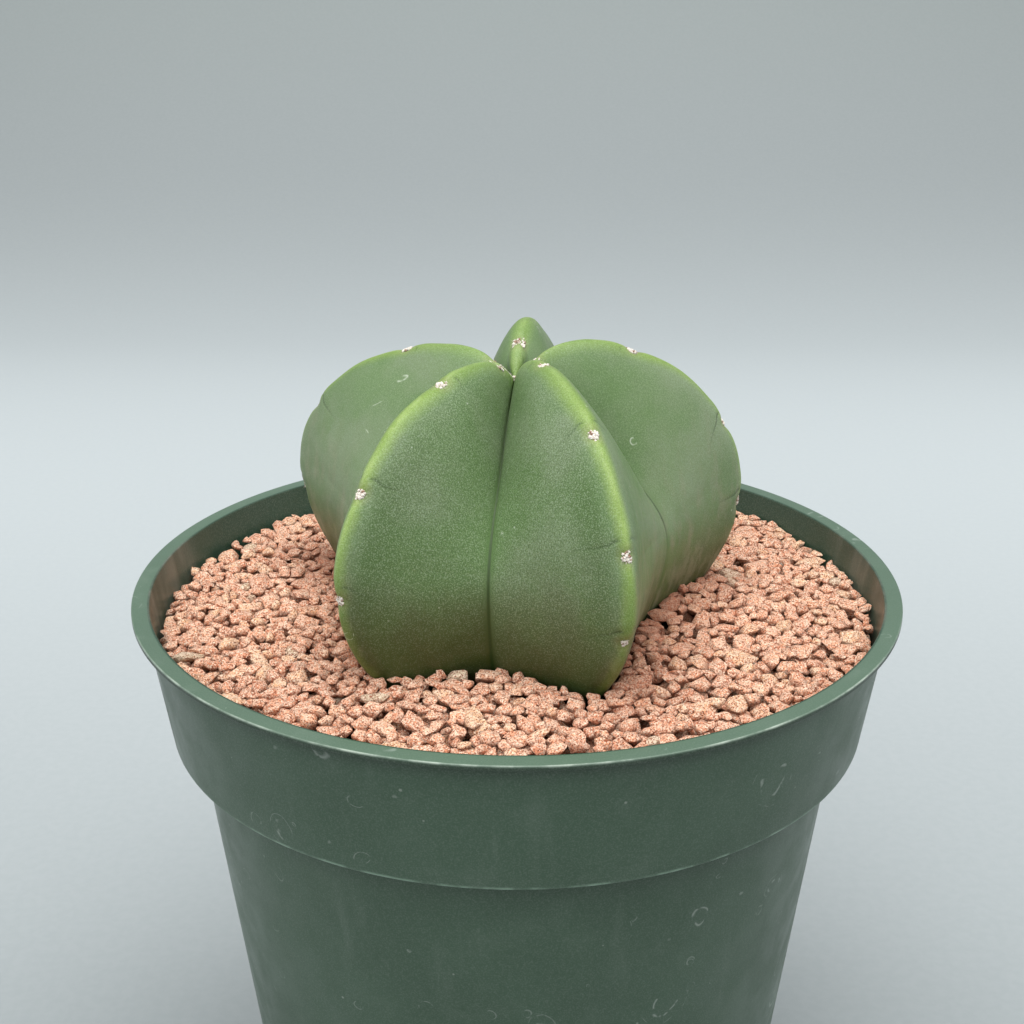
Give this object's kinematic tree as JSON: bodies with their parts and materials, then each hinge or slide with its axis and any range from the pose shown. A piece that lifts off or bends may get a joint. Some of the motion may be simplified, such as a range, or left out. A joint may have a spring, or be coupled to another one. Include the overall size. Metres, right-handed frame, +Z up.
{
  "type": "potted bishops cap cactus",
  "caption": "Star-shaped ribbed succulent with woolly areoles along its crests, in a tapered round nursery pot with a wide band, top-dressed with crushed pink stone.",
  "frame": {"origin": "centre of the pot's round bottom, on the surface it stands on", "axes": "+Z up, along the pot's axis; -Y towards the side that the picture shows; +X to the picture's right"},
  "size_m": [0.1524, 0.1524, 0.1906],
  "materials": {
    "pot_plastic": "satin",
    "potting_mix": "matte",
    "pink_gravel": "matte",
    "cactus_skin": "satin",
    "areole_wool": "matte"
  },
  "bodies": {
    "root": {"pot": "pot_plastic", "potting_mix": "potting_mix", "gravel_top_dressing": "pink_gravel", "cactus_stem": "cactus_skin"}
  },
  "joints": []
}
